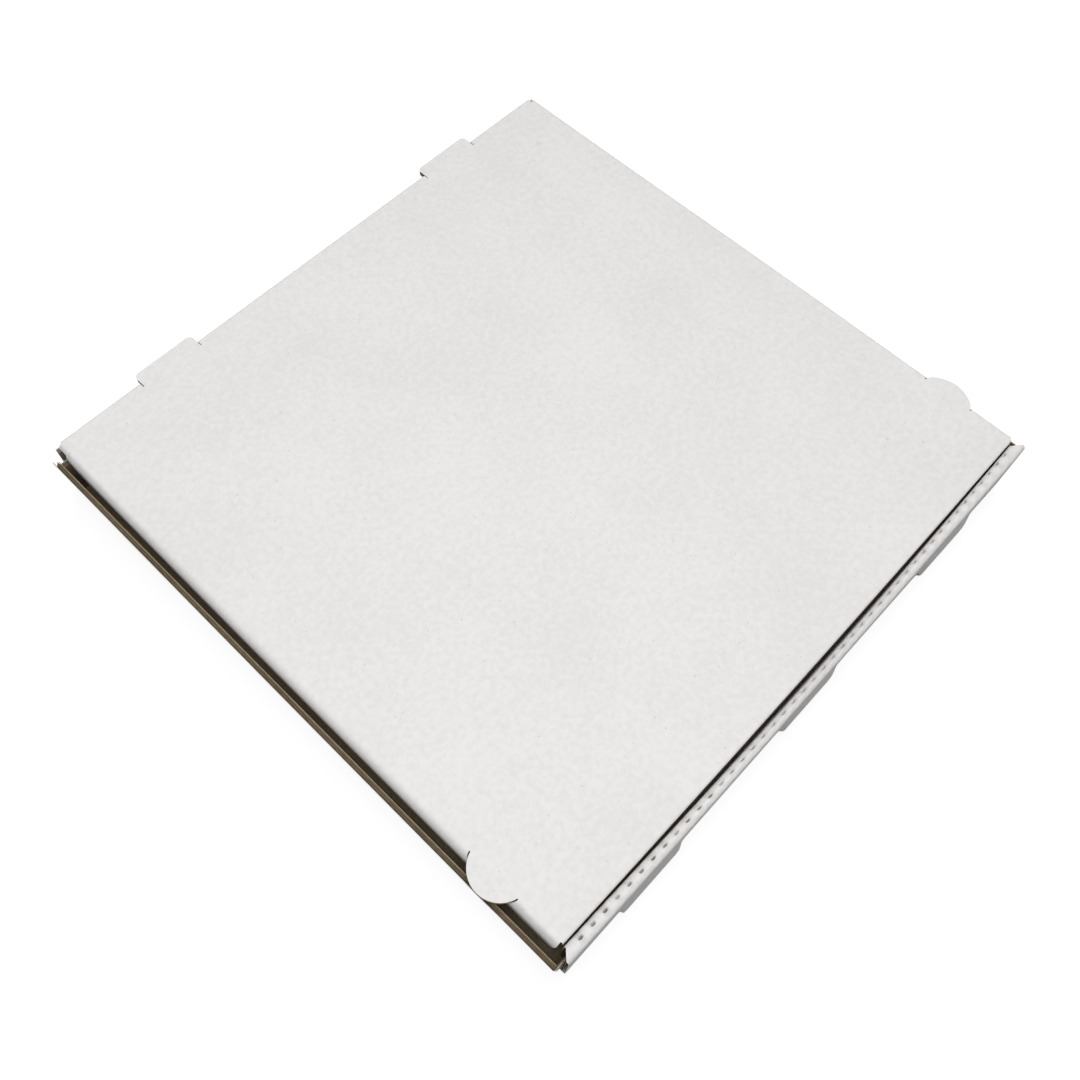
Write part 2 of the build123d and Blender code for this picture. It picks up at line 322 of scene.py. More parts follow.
lidBlank = {
    "halfWidth": 150.0, "front": 147.65, "top": 34.5, "hingeY": 152.8, "hingeZ": 33.2,
    "flapHeight": 25.0, "frontFlapDepth": 24.0, "frontLean": 4.0,
    "frontTaper": 12.0, "rearTaper": 20.0, "flapEnd": 147.75,
    "foldHalf": 148.0, "frontFlapHalf": 146.6, "flapCorner": 6.0,
    "rearTabHalf": 16.0, "rearTabMiddle": 88.5, "rearTabTip": 158.85, "tabCorner": 2.5,
    "roundTab": (144.4, -112.4, 12.74), "halfMoon": (147.0, -112.4, 12.8),
    "hingeStart": 151.0,
    # the lid isn't quite flat or square either; the pairs say over which places a shape comes in
    "frontBow": 0.85, "bowAlong": (2.0, 40.0),     # behind the front fold
    "sag": 0.35, "sagUp": (20.0, 30.0),
    # the right fold swells out over the wall below it, less towards the hinge
    "rightSwell": 1.8, "swellFade": 0.6, "swellAlong": (-40.0, 140.0), "swellUp": (29.0, 33.5),
    "swellAcross": (112.0, 148.0), "swellTab": (149.0, 157.0),
    # the left fold is a soft roll that stands out, less towards its ends
    "leftRoll": 1.6, "leftRadius": 4.0, "rollFade": 0.45, "rollUp": (8.0, 28.0), "rollAcross": (148.2, 151.0),
    "rightLines": (3.0, 4.2, 5.5), "leftLines": (9.0, 13.0, 18.0),     # more fold lines down the side flaps
    "rows": range(-130, 150, 20),
}


def trayLines(size):
    w, length, height = size["halfWidth"], size["halfLength"], size["height"]
    crease = board["crease"]
    return {
        "side": foldLine([(0, 0), (w, 0), (w, size["sideTop"])], [crease]),
        "front": foldLine([
            (0, 0), (length, 0), (length, height), (size["innerFace"], height),
            (size["innerFace"], 0), (length + size["tabReach"], 0)],
            [crease, board["topCrease"], board["rolledCrease"], crease]),
        "rear": foldLine([(0, 0), (length, 0), (length, height)], [crease]),
        "end": foldLine([(0, -w), (size["wallEnd"], -w), (size["wallEnd"], 0)], [crease]),
    }


def trayPlace(across, along, depth):
    size, lines = trayBlank, trayBlank["lines"]
    side = 1 if across > 0 else -1
    far = 1 if along > 0 else -1
    if abs(across) > size["endWallHalf"] + 0.05:
        wall = onLine(lines["side"], abs(across), depth)
        pressed = depth
        if far < 0:
            flat = 1 - board["crushed"] / board["thickness"]
            pressed = depth * (1 - flat * ease(size["wallEnd"] - size["endCrush"], size["wallEnd"], abs(along)))
        end = onLine(lines["end"], abs(along), pressed)
        place = Vector((side * min(wall.x, -end.y), far * end.x, wall.y))
    else:
        spot = onLine(lines["front" if far < 0 else "rear"], abs(along), depth)
        place = Vector((across, far * spot.x, spot.y))
    if abs(across) > size["endWallHalf"] + 0.05:
        lean = size["leftLean"] if side < 0 else size["rightLean"]
        bow = 1 - ((place.y - size["leanMiddle"]) / size["leanSpan"]) ** 2
        place.x += side * lean * bow * max(0.0, place.z) / size["sideTop"]
    if place.y < -size["innerFace"] + size["bowDepth"]:
        rise = max(0.0, place.z - size["bowFrom"]) / (size["height"] - size["bowFrom"])
        inside = ease(-size["halfLength"] + 1, -size["innerFace"] - 0.5, place.y)
        middle = max(0.0, 1 - (place.x / size["endWallHalf"]) ** 2)
        outer, inner = size["outerBow"] * middle, size["innerLean"] + size["innerBow"] * middle ** 1.5
        front = 1 - ease(-size["innerFace"] - 1, -size["innerFace"] + size["bowDepth"], place.y)
        place.y -= front * rise * (outer + (inner - outer) * inside)
    if far < 0 and size["halfLength"] < abs(along) < size["halfLength"] + size["bulgeTop"] + 6:
        low = 1 - ease(size["panelFoot"], size["bulgeTop"], place.z)
        place.y -= size["footBulge"] * low * max(overTab(across - middle) for middle in tabMiddles())
    return place


def tabMiddles():
    return (-trayBlank["tabMiddle"], 0.0, trayBlank["tabMiddle"])


def overTab(offset):
    # 1 over a lock tab: a sharp step at its left end and a slower one at its right
    half = trayBlank["tabHalf"] + trayBlank["slotGap"]
    return ease(-half, -half + 1.2, offset) * (1 - ease(half - 2.5, half, offset))


def trayOutline(size):
    w, length, height = size["halfWidth"], size["halfLength"], size["height"]
    lineTop = length + height
    lineInner = lineTop + length - size["innerFace"]
    foot = lineInner + height - size["panelFoot"]
    tip = lineInner + height + length - size["innerFace"] + size["tabReach"]
    tab, place, inner = size["tabHalf"], size["tabMiddle"], size["innerPanelHalf"]
    end, wall = size["wallEnd"], size["endWallHalf"]
    low = w + size["panelFoot"]
    corner = size["flapCorner"]
    rearTop = length + size["rearTop"]
    notchNear = size["notchMiddle"] - size["notchHalf"]
    notchFar = size["notchMiddle"] + size["notchHalf"]
    half = [
        (tab - 0.9, -tip, 2.2), (tab, -foot, 0),
        (place - tab, -foot, 0), (place - tab + 0.9, -tip, 2.2), (place + tab - 0.9, -tip, 2.2),
        (place + tab, -foot, 0),
        (inner, -foot, 0), (inner, -lineInner, 0), (wall, -lineTop - board["crease"], 0), (wall, -end, 0),
        (low, -end, 0), (low, -end - size["frontFlapReach"], corner),
        (w + size["frontFlapTop"], -end - size["frontFlapReach"], corner), (w + size["frontFlapTop"], -end, 0),
        (w + size["sideTop"], -end, 0), (w + size["sideTop"], end, 0),
        (w + size["rearFlapTop"], end, 0), (w + size["rearFlapTop"], end + size["rearFlapReach"], corner),
        (low, end + size["rearFlapReach"], corner), (low, end, 0),
        (wall, end, 0), (wall, rearTop + 0.6, 0), (lidBlank["foldHalf"], rearTop + 0.6, 0),
        (lidBlank["foldHalf"], rearTop, 0),
        (notchFar, rearTop, 0), (notchFar, length + size["notchBottom"], 2.5),
        (notchNear, length + size["notchBottom"], 2.5), (notchNear, rearTop, 0),
    ]
    slots = []
    slotHalf = tab + size["slotGap"]
    for middle in tabMiddles():
        slot = [Vector((middle + step, -length - size["panelFoot"])) for step in bulgeSteps(slotHalf)]
        slot.append(Vector((middle + slotHalf, -size["innerFace"] - 0.02)))
        slot.append(Vector((middle - slotHalf, -size["innerFace"] - 0.02)))
        slots.append(slot)
    return [roundedLoop(bothHalves(half))] + slots


def bulgeSteps(half):
    # places across a lock tab that carry the shape of the wall's foot over it
    return [-half, -half + 0.3, -half + 0.6, -half + 0.9, -half + 1.2, -10, 0, 7,
            half - 2.5, half - 1.9, half - 1.3, half - 0.7, half]


def footPoints():
    half = trayBlank["tabHalf"] + trayBlank["slotGap"]
    return [
        (middle + step, -trayBlank["halfLength"] - height)
        for middle in tabMiddles() for step in bulgeSteps(half)[1:-1] for height in (4.5, 7, 10, 13, 16, 19)]


def lidLines(size):
    top, lean = size["top"], tan(radians(size["frontLean"]))
    foot = size["front"] - size["frontFlapDepth"] * lean
    return {
        "side": foldLine([
            (0, -top), (size["halfWidth"], -top), (size["halfWidth"], size["flapHeight"] - top)],
            [board["softCrease"]]),
        "left": foldLine([
            (0, -top), (size["halfWidth"] + size["leftRoll"], -top),
            (size["halfWidth"] + size["leftRoll"], size["flapHeight"] - top)], [size["leftRadius"]]),
        "front": foldLine([
            (0, -top), (size["front"], -top), (foot, size["frontFlapDepth"] - top)], [board["crease"]]),
    }


def lidPlace(across, along, depth):
    size, lines = lidBlank, lidBlank["lines"]
    x, y, radius = size["roundTab"]
    side = 1 if across > 0 else -1
    inTab = (abs(across) - x) ** 2 + (along - y) ** 2 < (radius + 0.03) ** 2
    if abs(across) > size["foldHalf"] + 0.01 and not inTab:
        spot = onLine(lines["side" if side > 0 else "left"], abs(across), depth)
        if side < 0:
            # below the roll the flap runs back in
            out = (1 - size["rollFade"] * (along / size["front"]) ** 2) * ease(*size["rollUp"], -spot.y)
            spot.x -= size["leftRoll"] * (1 - out) * ease(*size["rollAcross"], spot.x)
        place = Vector((side * spot.x, along, -spot.y))
    elif along < 0:
        spot = onLine(lines["front"], -along, depth)
        place = Vector((across, -spot.x, -spot.y))
    else:
        place = Vector((across, along, size["top"] - depth))
    front = 1 - ease(*size["bowAlong"], place.y + size["front"])
    middle = max(0.0, 1 - (place.x / size["halfWidth"]) ** 2)
    length = max(0.0, 1 - (place.y / size["hingeY"]) ** 2)
    place.y -= size["frontBow"] * front * middle
    place.z -= size["sag"] * middle * length * ease(*size["sagUp"], place.z)
    if place.x > size["swellAcross"][0]:
        swell = size["rightSwell"] * (1 - size["swellFade"] * ease(*size["swellAlong"], place.y))
        swell *= ease(*size["swellUp"], place.z) * ease(*size["swellAcross"], place.x)
        if inTab:
            swell *= 1 - ease(*size["swellTab"], place.x)
        place.x += swell
    return place


def lidOutline(size):
    w, front, reach = size["halfWidth"], size["front"], size["flapHeight"]
    thick = board["thickness"]
    slope = tan(radians(size["frontTaper"]))
    drop = size["frontFlapDepth"] / cos(radians(size["frontLean"]))
    footHalf = size["frontFlapHalf"] - (drop - thick) * slope
    start = -front + board["crease"]
    flapDrop = reach - thick
    rearFoot = size["flapEnd"] - flapDrop * tan(radians(size["rearTaper"]))
    near = size["rearTabMiddle"] - size["rearTabHalf"]
    far = size["rearTabMiddle"] + size["rearTabHalf"]
    half = [
        (footHalf, -front - drop, 0), (size["frontFlapHalf"], -front - thick, 0),
        (size["foldHalf"], -front - thick, 0), (size["foldHalf"], start, 0),
        (w + thick, start, 0), (w + reach, start + flapDrop * slope, size["flapCorner"]),
        (w + reach, rearFoot, size["flapCorner"]), (w + thick, size["flapEnd"], 0),
        (w + thick, size["hingeY"], 0), (size["foldHalf"], size["hingeY"], 0),
        (size["foldHalf"], size["hingeStart"], 0),
        (far, size["hingeStart"], 0), (far, size["rearTabTip"], size["tabCorner"]),
        (near, size["rearTabTip"], size["tabCorner"]), (near, size["hingeStart"], 0),
    ]
    # what lies between each round tab and the half-moon that it was cut from
    tabX, y, tabRadius = size["roundTab"]
    moonX, y, moonRadius = size["halfMoon"]
    moonTurn = acos((size["foldHalf"] - moonX) / moonRadius)
    tabTurn = acos((size["foldHalf"] - tabX) / tabRadius)
    moat = arcPoints((moonX, y), moonRadius, -moonTurn, moonTurn, 30)
    moat += arcPoints((tabX, y), tabRadius, tabTurn, -tabTurn, 30)
    mirrored = [Vector((-point.x, point.y)) for point in moat]
    return [roundedLoop(bothHalves(half)), moat, mirrored]


# ---------- paper layers ----------
def insideLoops(points, loops):
    inside = np.zeros(len(points), bool)
    x, y = points[:, 0], points[:, 1]
    for loop in loops:
        for a, b in zip(loop, loop[1:] + loop[:1]):
            if a.y == b.y:
                continue
            crosses = (a.y > y) != (b.y > y)
            inside ^= crosses & (x < a.x + (y - a.y) * (b.x - a.x) / (b.y - a.y))
    return inside


def stepped(points):
    # points along straight runs, so that a long edge can bow
    chain = []
    for a, b in zip(points, points[1:]):
        count = int(hypot(b[0] - a[0], b[1] - a[1]) / board["gridStep"]) + 1
        chain += [(a[0] + (b[0] - a[0]) * i / count, a[1] + (b[1] - a[1]) * i / count) for i in range(count)]
    return chain + [(points[-1][0], points[-1][1])]


def flatTriangles(loops, creases, extra=()):
    corners, edges = [], []
    for loop in loops:
        first = len(corners)
        corners += stepped(loop + loop[:1])[:-1]
        edges += [(i, i + 1) for i in range(first, len(corners) - 1)] + [(len(corners) - 1, first)]
    outline = loops[0]
    xs = [point.x for point in outline]
    ys = [point.y for point in outline]
    for line in creases:
        first = len(corners)
        corners += stepped(line)
        edges += [(i, i + 1) for i in range(first, len(corners) - 1)]
    # no grid points beside a fold line, where the paper inside the fold has no width
    step, clear = board["gridStep"], board["gridClear"]
    grid = [
        (x, y) for x in np.arange(min(xs) + step / 2, max(xs), step)
        for y in np.arange(min(ys) + step / 2, max(ys), step)
        if not any(a - clear < x < c + clear and b - clear < y < d + clear for (a, b), (c, d) in creases)]
    grid = np.array(grid + list(extra))
    grid = grid[insideLoops(grid, loops)]
    corners = [Vector(corner) for corner in corners] + [Vector(point) for point in grid.tolist()]
    result = delaunay_2d_cdt(corners, edges, [], 0, 1e-4)
    points = np.array([tuple(point) for point in result[0]])
    triangles = np.array([face for face in result[2] if len(face) == 3])
    keep = insideLoops(points[triangles].mean(axis=1), loops)
    a, b, c = (points[triangles[:, i]] for i in range(3))
    area = (b[:, 0] - a[:, 0]) * (c[:, 1] - a[:, 1]) - (b[:, 1] - a[:, 1]) * (c[:, 0] - a[:, 0])
    return points, triangles[keep & (np.abs(area) > 1e-7)]


def creaseLines(line, flip, low, high, steps, alongAxis):
    # fold lines across the blank, from low to high, at each step round each bend
    lines = []
    for fold in line["folds"]:
        for step in range(steps + 1):
            at = flip * (fold["at"] - fold["reach"] + 2 * fold["reach"] * step / steps)
            lines.append(((low, at), (high, at)) if alongAxis else ((at, low), (at, high)))
    return lines


def finishPiece(name, mesh, material, body=None, node=None):
    mesh.materials.clear()
    mesh.materials.append(material)
    mesh.polygons.foreach_set("material_index", np.zeros(len(mesh.polygons), np.int32))
    mesh.polygons.foreach_set("use_smooth", np.ones(len(mesh.polygons), bool))
    mesh.set_sharp_from_angle(angle=radians(board["sharpAngle"]))
    piece = bpy.data.objects.new(name, mesh)
    bpy.context.scene.collection.objects.link(piece)
    if body:
        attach(piece, body)
        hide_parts(node)
    return piece


def cleanMesh(mesh):
    work = bmesh.new()
    work.from_mesh(mesh)
    bmesh.ops.remove_doubles(work, verts=work.verts, dist=2e-6)
    bmesh.ops.dissolve_degenerate(work, edges=work.edges, dist=1e-6)
    # faces that have closed up on each other inside a fold cancel out
    work.verts.index_update()
    sharing = {}
    for face in work.faces:
        sharing.setdefault(frozenset(corner.index for corner in face.verts), []).append(face)
    twins = [face for faces in sharing.values() for face in faces[:len(faces) // 2 * 2]]
    bmesh.ops.delete(work, geom=twins, context="FACES_ONLY")
    bmesh.ops.delete(work, geom=[edge for edge in work.edges if not edge.link_faces], context="EDGES")
    bmesh.ops.delete(work, geom=[vert for vert in work.verts if not vert.link_faces], context="VERTS")
    if work.calc_volume(signed=True) < 0:
        bmesh.ops.reverse_faces(work, faces=work.faces)
    work.to_mesh(mesh)
    work.free()


def mapBlank(mesh, flat):
    # the mesh's UV map says where each point lies on the flat blank, in metres
    corners = np.zeros(len(mesh.loops), np.int32)
    mesh.loops.foreach_get("vertex_index", corners)
    places = np.array(flat, np.float32)[corners]
    mesh.uv_layers.new(name="blank").data.foreach_set("uv", places.ravel())


def linerMesh(name, flat, place, near, far, lift=None):
    # a closed sheet of paper between two depths
    points, triangles = flat
    layers = []
    for depth in (near, far):
        for across, along in points:
            shift = lift(across, along) if lift else 0.0
            layers.append(place(across, along, depth + shift) * toMetres)
    count = len(points)
    edgeUse = {}
    for a, b, c in triangles.tolist():
        for edge in ((a, b), (b, c), (c, a)):
            key = tuple(sorted(edge))
            edgeUse[key] = None if key in edgeUse else edge
    faces = triangles.tolist() + (triangles[:, ::-1] + count).tolist()
    for edge in edgeUse.values():
        if edge:
            faces.append([edge[1], edge[0], edge[0] + count, edge[1] + count])
    mesh = bpy.data.meshes.new(name)
    mesh.from_pydata([tuple(spot) for spot in layers], [], faces)
    mapBlank(mesh, np.tile(points, (2, 1)) * toMetres)
    if lift:
        # how deep the paper is pressed, for its colour: the grey of the crushed board, and painted shade in the
        # pits
        depths = [lift(across, along) / board["thickness"] for across, along in points] * 2
        mesh.attributes.new("pressed", "FLOAT", "POINT").data.foreach_set("value", np.array(depths, np.float32))
    cleanMesh(mesh)
    return mesh


def crossings(loops, across):
    found = []
    for loop in loops:
        for a, b in zip(loop, loop[1:] + loop[:1]):
            if (a.x > across) != (b.x > across):
                found.append(a.y + (across - a.x) * (b.y - a.y) / (b.x - a.x))
    return sorted(found)


# How far the flutes are crushed where a fold crosses them or the board is pressed
crushing = {
    "probe": 0.4,           # mm to each side of the middle, to feel for the board's depth
    "flatAt": 1.6,          # pressed in by this much, nothing is left of a flute
    "leastAtFold": 0.6,
}
# What the sheet tells the Geometry Nodes at each point
sheetData = {"acrossFlutes": "FLOAT", "room": "FLOAT", "intoBoard": "FLOAT_VECTOR"}


def mediumSheet(name, loops, place, rows, seam, lift=None):
    # the middle sheet before it is waved, in strips between lines that run along the flutes;
    # the seam is where walls and flaps part, and the strips beside it share no points
    step = board["flutePitch"] / board["flutePoints"]
    limit = max(point.x for point in loops[0])
    lines = {round(i * step, 4) for i in range(-int(limit / step) - 1, int(limit / step) + 2)}
    lines |= {round(point.x, 4) for loop in loops for point in loop}
    lines = sorted(line for line in lines if abs(line) <= limit + 1e-3)
    spaced = lines[:1]
    for line in lines[1:]:
        if line - spaced[-1] > 0.02:
            spaced.append(line)
    middle = board["thickness"] / 2
    probe, least = crushing["probe"], crushing["leastAtFold"]
    vertices, faces, known = [], [], {}
    data = {key: [] for key in sheetData}

    def vertex(across, along, nudge):
        nudge *= abs(abs(across) - seam) < 0.01
        here = across + 1e-3 * nudge
        down = lift(across, along) if lift else 0.0
        depth = middle + down / 2
        spot = place(here, along, depth)
        # rows that meet inside a sharp fold share one point
        key = (round(across, 3), nudge) + tuple(round(v, 2) for v in spot)
        if key not in known:
            known[key] = len(vertices)
            vertices.append(spot * toMetres)
            span = place(here, along, depth + probe) - place(here, along, depth - probe)
            length = span.length
            spread = (place(here, along + 0.5, middle) - place(here, along - 0.5, middle)).length
            data["intoBoard"].append(span.normalized() if length > 1e-4 else Vector((0, 0, 1)))
            data["acrossFlutes"].append(across)
            data["room"].append(
                min(1.0, length / (2 * probe)) * max(0.0, 1 - down / crushing["flatAt"])
                * (least + (1 - least) * min(1.0, spread)))
        return known[key]

    for left, right in zip(spaced, spaced[1:]):
        inset = min(0.005, (right - left) / 4)
        lows = crossings(loops, left + inset)
        highs = crossings(loops, right - inset)
        if len(lows) != len(highs):
            continue
        for i in range(0, len(lows) - 1, 2):
            a0, a1, b0, b1 = lows[i], lows[i + 1], highs[i], highs[i + 1]
            inner = [row for row in rows if max(a0, b0) + 0.05 < row < min(a1, b1) - 0.05]
            leftRow = [vertex(left, y, 1) for y in [a0] + inner + [a1]]
            rightRow = [vertex(right, y, -1) for y in [b0] + inner + [b1]]
            for k in range(len(leftRow) - 1):
                ring = [leftRow[k], rightRow[k], rightRow[k + 1], leftRow[k + 1]]
                ring = [v for j, v in enumerate(ring) if v != ring[j - 1]]
                if len(ring) > 2:
                    faces.append(ring)
    mesh = bpy.data.meshes.new(name)
    mesh.from_pydata([tuple(spot) for spot in vertices], [], faces)
    for key, kind in sheetData.items():
        attribute = mesh.attributes.new(key, kind, "POINT")
        values = np.array([tuple(v) for v in data[key]] if kind == "FLOAT_VECTOR" else data[key], np.float32)
        attribute.data.foreach_set("vector" if kind == "FLOAT_VECTOR" else "value", values.ravel())
    return mesh


# Waves the middle sheet between the liners
fluting = {"Pitch": board["flutePitch"], "Swing": 0.86}


def flutingTree(material):
    tree = bpy.data.node_groups.new("waveTheMedium", "GeometryNodeTree")
    tree.interface.new_socket("Geometry", in_out="INPUT", socket_type="NodeSocketGeometry")
    for key, value in fluting.items():
        tree.interface.new_socket(key, in_out="INPUT", socket_type="NodeSocketFloat").default_value = value
    tree.interface.new_socket("Geometry", in_out="OUTPUT", socket_type="NodeSocketGeometry")
    given = addNode(tree, "NodeGroupInput")
    across, room, inward = (
        addNode(tree, "GeometryNodeInputNamedAttribute", [name], data_type=kind)
        for name, kind in sheetData.items())
    turns = addNode(tree, "ShaderNodeMath", [across, given.outputs["Pitch"]], operation="DIVIDE")
    angle = addNode(tree, "ShaderNodeMath", [turns, 2 * pi], operation="MULTIPLY")
    wave = addNode(tree, "ShaderNodeMath", [angle], operation="SINE")
    swing = given.outputs["Swing"]
    for factor in (toMetres, room, wave):
        swing = addNode(tree, "ShaderNodeMath", [swing, factor], operation="MULTIPLY")
    offset = addNode(tree, "ShaderNodeVectorMath", {0: inward, "Scale": swing}, operation="SCALE")
    waved = addNode(tree, "GeometryNodeSetPosition", {"Geometry": given.outputs["Geometry"], "Offset": offset})
    real = addNode(tree, "GeometryNodeRealizeInstances", [waved])
    done = addNode(tree, "GeometryNodeSetMaterial", {"Geometry": real, "Material": material})
    addNode(tree, "NodeGroupOutput", [done])
    return tree


def wavedMesh(name, mesh, tree):
    holder = bpy.data.objects.new(name + "Flat", mesh)
    bpy.context.scene.collection.objects.link(holder)
    wave = holder.modifiers.new("wave", "NODES")
    wave.node_group = tree
    for item in tree.interface.items_tree:
        if item.in_out == "INPUT" and item.name in fluting:
            wave[item.identifier] = fluting[item.name]
    paper = holder.modifiers.new("paper", "SOLIDIFY")
    paper.thickness = board["medium"] * toMetres
    paper.offset = 0
    evaluated = holder.evaluated_get(bpy.context.evaluated_depsgraph_get())
    result = bpy.data.meshes.new_from_object(evaluated)
    result.name = name
    holder.modifiers.clear()
    bpy.data.objects.remove(holder)
    cleanMesh(result)
    return result


# ---------- the crushed flutes along the top of the front wall ----------
crushedFlutes = {
    "pitFloor": 0.5, "pitRadius": 1.4, "pitDepth": 2.0,   # mm
    "towardsFold": 0.55,     # the pits are drawn out towards the rolled-over fold
    "fromInnerFace": 1.9,    # at the left end; towards the right the row runs closer to the fold
    "closerBy": 2.9, "closerFrom": -80.0, "closerTo": -10.0,
    "pillowDrop": 0.4,       # how far the strip lies below the tops of the pillows
    "spacing": 0.8,          # of the points that carry the pillows
}


def stripLines():
    size = trayBlank
    top = size["halfLength"] + size["height"]
    inner = top + size["halfLength"] - size["innerFace"]
    return top, inner


def pitLine(across):
    style = crushedFlutes
    closer = style["closerBy"] * ease(style["closerFrom"], style["closerTo"], across)
    return stripLines()[1] - style["fromInnerFace"] + closer


def crushedLift(across, along):
    size, style = trayBlank, crushedFlutes
    top, inner = stripLines()
    distance = -along
    if distance < top - 0.5 or distance > inner + 5 or abs(across) > size["innerPanelHalf"] + 3:
        return 0.0
    pitch = board["flutePitch"]
    offset = (across / pitch % 1.0 - 0.5) * pitch      # from the nearest pit, along the strip
    number = int(across // pitch)
    uneven = 0.78 + 0.22 * sin(number * 2.1) * cos(number * 0.73 + 1.3)
    beyond = distance - pitLine((number + 0.5) * pitch)
    if beyond > 0:
        beyond *= style["towardsFold"]
    pit = 1 - ease(style["pitFloor"], style["pitRadius"], hypot(offset, beyond))
    pillow = cos(pi * offset / pitch) ** 2             # 0 midway between the pits
    strip = ease(top - 0.5, top + 1.5, distance) * (1 - ease(inner + 1.5, inner + 5, distance))
    fade = 1 - ease(size["innerPanelHalf"] - 5, size["innerPanelHalf"] - 1, abs(across))
    return fade * uneven * (style["pitDepth"] * pit + style["pillowDrop"] * pillow * strip * (1 - pit))


def inStrip(line):
    top, inner = stripLines()
    return line[0][1] == line[1][1] and top - 1.5 < -line[0][1] < inner + 3.5


def shortEnds(line):
    # in the strip the fold lines are points, so that the paper can dip between them
    (low, along), (high, same) = line
    return [((low, along), (low + 7, along)), ((high - 7, along), (high, along))]


def crushedPoints(creases):
    size, style, pitch = trayBlank, crushedFlutes, board["flutePitch"]
    top, inner = stripLines()
    rows = sorted({line[0][1] for line in creases if inStrip(line)})
    rows += [-(top + 1.8), -(top + 2.4), -(inner + 4.2), -(inner + 5.2)]
    reach = size["innerPanelHalf"] - 3.8
    points = [(x, along) for along in rows for x in np.arange(-reach, reach, style["spacing"])]
    count = int(size["innerPanelHalf"] / pitch)
    for number in range(-count, count):
        middle = (number + 0.5) * pitch
        for radius, around in ((0.0, 1), (0.35, 8), (0.65, 10), (0.95, 12), (1.2, 14), (1.5, 14)):
            for k in range(around):
                turn = 2 * pi * k / around
                stretch = 1 / style["towardsFold"] if sin(turn) > 0 else 1.0
                points.append((middle + radius * cos(turn), -(pitLine(middle) + radius * sin(turn) * stretch)))
    return points


# ---------- make the pieces ----------
kraftPaper = makeBrownPaper("kraftTestliner", brownPapers["kraftTestliner"])
mediumPaper = makeBrownPaper("flutingMedium", brownPapers["flutingMedium"])
whitePaper = makeWhiteTop(whiteTop)
waveTree = flutingTree(mediumPaper)
print("materials ready")

trayBlank["lines"] = trayLines(trayBlank)
lidBlank["lines"] = lidLines(lidBlank)
thick, liner = board["thickness"], board["liner"]


def makeBoard(name, loops, creases, rows, place, seam, extra=(), outer=(), lift=None):
    flat = flatTriangles(loops, creases, extra)
    outside = flat
    if outer:
        soft = [end for line in creases for end in (shortEnds(line) if inStrip(line) else [line])]
        outside = flatTriangles(loops, soft, extra + outer)
    whiteMesh = linerMesh(name + "WhiteLiner", outside, place, 0.0, liner, lift)
    kraftMesh = linerMesh(name + "KraftLiner", flat, place, thick - liner, thick)
    mediumMesh = wavedMesh(name + "Medium", mediumSheet(name + "Sheet", loops, place, rows, seam, lift), waveTree)
    finishPiece(name + "_white_liner", whiteMesh, whitePaper, name, name)
    finishPiece(name + "_kraft_liner", kraftMesh, kraftPaper, name, name)
    finishPiece(name + "_fluted_medium", mediumMesh, mediumPaper, name, name)
    print(name, "faces", [len(m.polygons) for m in (whiteMesh, kraftMesh, mediumMesh)])


lines = trayBlank["lines"]
reach, end = trayBlank["endWallHalf"] + 0.04, trayBlank["wallEnd"]
far = trayBlank["halfWidth"] + trayBlank["sideTop"] + 1
steps = board["creaseSteps"]
creases = creaseLines(lines["front"], -1, -reach, reach, steps, True)
creases += creaseLines(lines["rear"], 1, -reach, reach, steps, True)
for side in (-1, 1):
    creases += creaseLines(lines["side"], side, -end, end, steps, False)
    low, high = sorted((side * (trayBlank["halfWidth"] - 3), side * far))
    for flip in (-1, 1):
        creases += creaseLines(lines["end"], flip, low, high, steps, True)
        crushStart = flip * (end - trayBlank["endCrush"])
        creases.append(((low, crushStart), (high, crushStart)))
rows = {line[0][1] for line in creases if line[0][1] == line[1][1]}
rows |= {point[1] for point in footPoints()} | set(trayBlank["rows"])
rows |= {-pitLine(0) + step for step in (-1.8, -0.9, 0, 0.9, 1.8)}
makeBoard(
    "tray", trayOutline(trayBlank), creases, sorted(rows), trayPlace, trayBlank["endWallHalf"],
    footPoints(), crushedPoints(creases), crushedLift)

lines = lidBlank["lines"]
creases = creaseLines(lines["front"], -1, -lidBlank["foldHalf"], lidBlank["foldHalf"], steps, True)
start = -lidBlank["front"] + board["crease"]
for side, key, more in ((-1, "left", "leftLines"), (1, "side", "rightLines")):
    creases += creaseLines(lines[key], side, start, lidBlank["hingeY"], board["softCreaseSteps"], False)
    for below in lidBlank[more]:
        edge = side * (lidBlank["halfWidth"] + below)
        creases.append(((edge, start + 3), (edge, lidBlank["flapEnd"] - 3)))
rows = {line[0][1] for line in creases if line[0][1] == line[1][1]} | set(lidBlank["rows"])
makeBoard("lid", lidOutline(lidBlank), creases, sorted(rows), lidPlace, lidBlank["foldHalf"])


# The liners run on over the hinge fold as fixed strips, drawn round the fold as it stands with the lid shut.
hingeStrip = {
    "step": 10.0, "climbSteps": 7,
    "turns": (0, 9, 18, 27, 36, 72, 81, 90),     # degrees round the fold
    "bendAfter": 4,                              # the bend lies between this turn and the next
    "bendShare": (0.3, 0.7),
}


